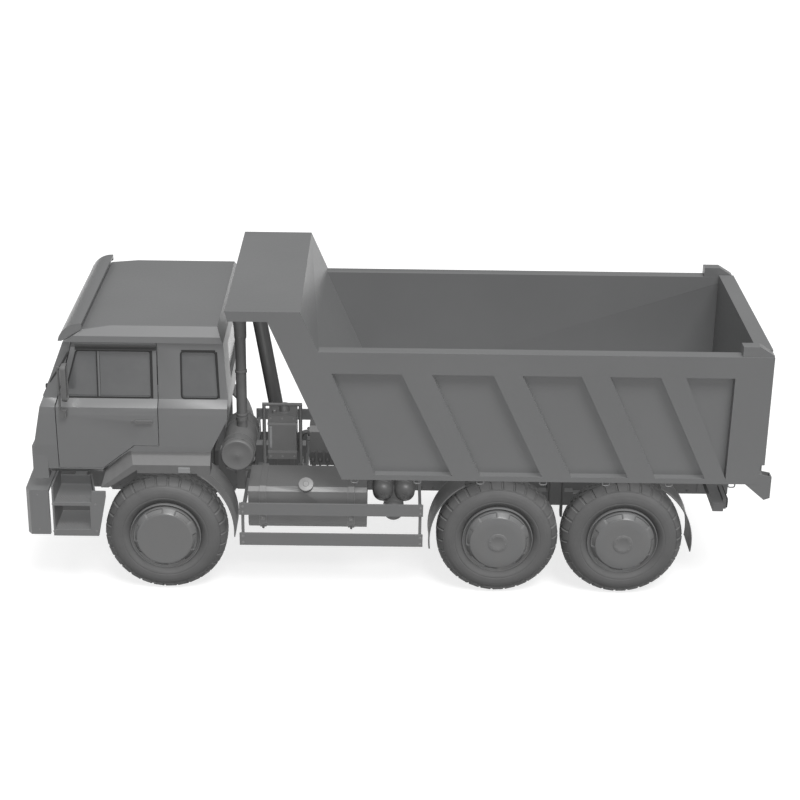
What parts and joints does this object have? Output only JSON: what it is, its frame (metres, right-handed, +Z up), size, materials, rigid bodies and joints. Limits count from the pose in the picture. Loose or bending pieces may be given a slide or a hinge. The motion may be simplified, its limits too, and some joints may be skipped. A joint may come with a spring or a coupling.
{
  "type": "three-axle dump truck",
  "caption": "Cab-over dump truck with steered front wheels, tandem rear axles, tilting cab, opening doors and a tipping body with front canopy and top-hinged tailgate.",
  "frame": {"origin": "on the ground under the middle of the truck", "axes": "+X forward, +Y to the left, +Z up"},
  "size_m": [7.38, 2.72, 3.041],
  "materials": {
    "painted": "satin",
    "chassis_paint": "satin",
    "dark_plastic": "matte",
    "metal": "satin",
    "cast": "matte",
    "tyre": "matte",
    "glazing": "gloss",
    "upholstery": "matte",
    "rim": "satin"
  },
  "bodies": {
    "chassis": {"frame_rails": "chassis_paint", "engine_block": "cast", "driveline": "cast", "axle_beams": "cast", "springs": "chassis_paint", "front_bumper": "painted", "entry_steps": "painted", "mudguards": "dark_plastic", "fuel_tank": "metal", "battery_box": "dark_plastic", "air_tanks": "metal", "side_guards": "painted", "air_intake": "metal", "hydraulic_tank": "metal", "exhaust": "metal", "underrun_bar": "chassis_paint", "lamps": "glazing"},
    "cab": {"cab_shell": "painted", "sun_visor": "painted", "cab_glass": "glazing", "seats": "upholstery", "dashboard": "dark_plastic"},
    "left_door": {"left_door": "painted", "left_door_glass": "glazing", "left_mirror": "dark_plastic"},
    "right_door": {"right_door": "painted", "right_door_glass": "glazing", "right_mirror": "dark_plastic"},
    "tipping_body": {"dump_body": "painted"},
    "tailgate": {"tailgate": "painted"},
    "hoist_barrel": {"hoist_barrel": "metal"},
    "hoist_stage_1": {"hoist_stage_1": "metal"},
    "hoist_stage_2": {"hoist_stage_2": "metal"},
    "hoist_stage_3": {"hoist_stage_3": "metal"},
    "left_knuckle": {"left_knuckle": "chassis_paint"},
    "right_knuckle": {"right_knuckle": "chassis_paint"},
    "front_left_wheel": {"front_left_tyre": "tyre", "front_left_rim": "rim"},
    "front_right_wheel": {"front_right_tyre": "tyre", "front_right_rim": "rim"},
    "middle_left_wheel": {"middle_left_tyre": "tyre", "middle_left_rim": "rim"},
    "middle_right_wheel": {"middle_right_tyre": "tyre", "middle_right_rim": "rim"},
    "rear_left_wheel": {"rear_left_tyre": "tyre", "rear_left_rim": "rim"},
    "rear_right_wheel": {"rear_right_tyre": "tyre", "rear_right_rim": "rim"}
  },
  "joints": [
    {"name": "left_steering", "type": "hinge", "parent": "chassis", "child": "left_knuckle", "pos_m": [2.313, 0.74, 0.613], "axis": [0, 0, 1], "range_deg": [-32, 32]},
    {"name": "right_steering", "type": "hinge", "parent": "chassis", "child": "right_knuckle", "pos_m": [2.313, -0.74, 0.613], "axis": [0, 0, 1], "range_deg": [-32, 32]},
    {"name": "front_left_spin", "type": "hinge", "parent": "left_knuckle", "child": "front_left_wheel", "pos_m": [2.313, 1.02, 0.613], "axis": [0, 1, 0], "continuous": true},
    {"name": "front_right_spin", "type": "hinge", "parent": "right_knuckle", "child": "front_right_wheel", "pos_m": [2.313, -1.02, 0.613], "axis": [0, 1, 0], "continuous": true},
    {"name": "middle_left_spin", "type": "hinge", "parent": "chassis", "child": "middle_left_wheel", "pos_m": [-1.016, 1.02, 0.613], "axis": [0, 1, 0], "continuous": true},
    {"name": "middle_right_spin", "type": "hinge", "parent": "chassis", "child": "middle_right_wheel", "pos_m": [-1.016, -1.02, 0.613], "axis": [0, 1, 0], "continuous": true},
    {"name": "rear_left_spin", "type": "hinge", "parent": "chassis", "child": "rear_left_wheel", "pos_m": [-2.271, 1.02, 0.613], "axis": [0, 1, 0], "continuous": true},
    {"name": "rear_right_spin", "type": "hinge", "parent": "chassis", "child": "rear_right_wheel", "pos_m": [-2.271, -1.02, 0.613], "axis": [0, 1, 0], "continuous": true},
    {"name": "cab_tilt", "type": "hinge", "parent": "chassis", "child": "cab", "pos_m": [3.52, 0, 1.25], "axis": [0, 1, 0], "range_deg": [0, 50]},
    {"name": "left_door_hinge", "type": "hinge", "parent": "cab", "child": "left_door", "pos_m": [3.322, 1.209, 1.9], "axis": [0, 0, -1], "range_deg": [0, 70]},
    {"name": "right_door_hinge", "type": "hinge", "parent": "cab", "child": "right_door", "pos_m": [3.322, -1.209, 1.9], "axis": [0, 0, 1], "range_deg": [0, 70]},
    {"name": "body_tip", "type": "hinge", "parent": "chassis", "child": "tipping_body", "pos_m": [-3.38, 0, 1.18], "axis": [0, -1, 0], "range_deg": [0, 48]},
    {"name": "tailgate_hinge", "type": "hinge", "parent": "tipping_body", "child": "tailgate", "pos_m": [-3.536, 0, 2.6], "axis": [0, 1, 0], "range_deg": [0, 60]},
    {"name": "hoist_swing", "type": "hinge", "parent": "chassis", "child": "hoist_barrel", "pos_m": [1.166, 0, 0.96], "axis": [0, -1, 0], "range_deg": [0, 38.5]},
    {"name": "hoist_slide_1", "type": "slide", "parent": "hoist_barrel", "child": "hoist_stage_1", "axis": [0.1656, 0, 0.9862], "range_m": [0, 1.22]},
    {"name": "hoist_slide_2", "type": "slide", "parent": "hoist_stage_1", "child": "hoist_stage_2", "axis": [0.1656, 0, 0.9862], "range_m": [0, 1.22]},
    {"name": "hoist_slide_3", "type": "slide", "parent": "hoist_stage_2", "child": "hoist_stage_3", "axis": [0.1656, 0, 0.9862], "range_m": [0, 1.22]}
  ],
  "couplings": [
    {"joint": "right_steering", "follows": "left_steering", "ratio": 1},
    {"joint": "hoist_swing", "follows": "body_tip", "ratio": 0.7621},
    {"joint": "hoist_slide_1", "follows": "body_tip", "m_per_rad": 1.4506},
    {"joint": "hoist_slide_2", "follows": "body_tip", "m_per_rad": 1.4506},
    {"joint": "hoist_slide_3", "follows": "body_tip", "m_per_rad": 1.4506}
  ]
}
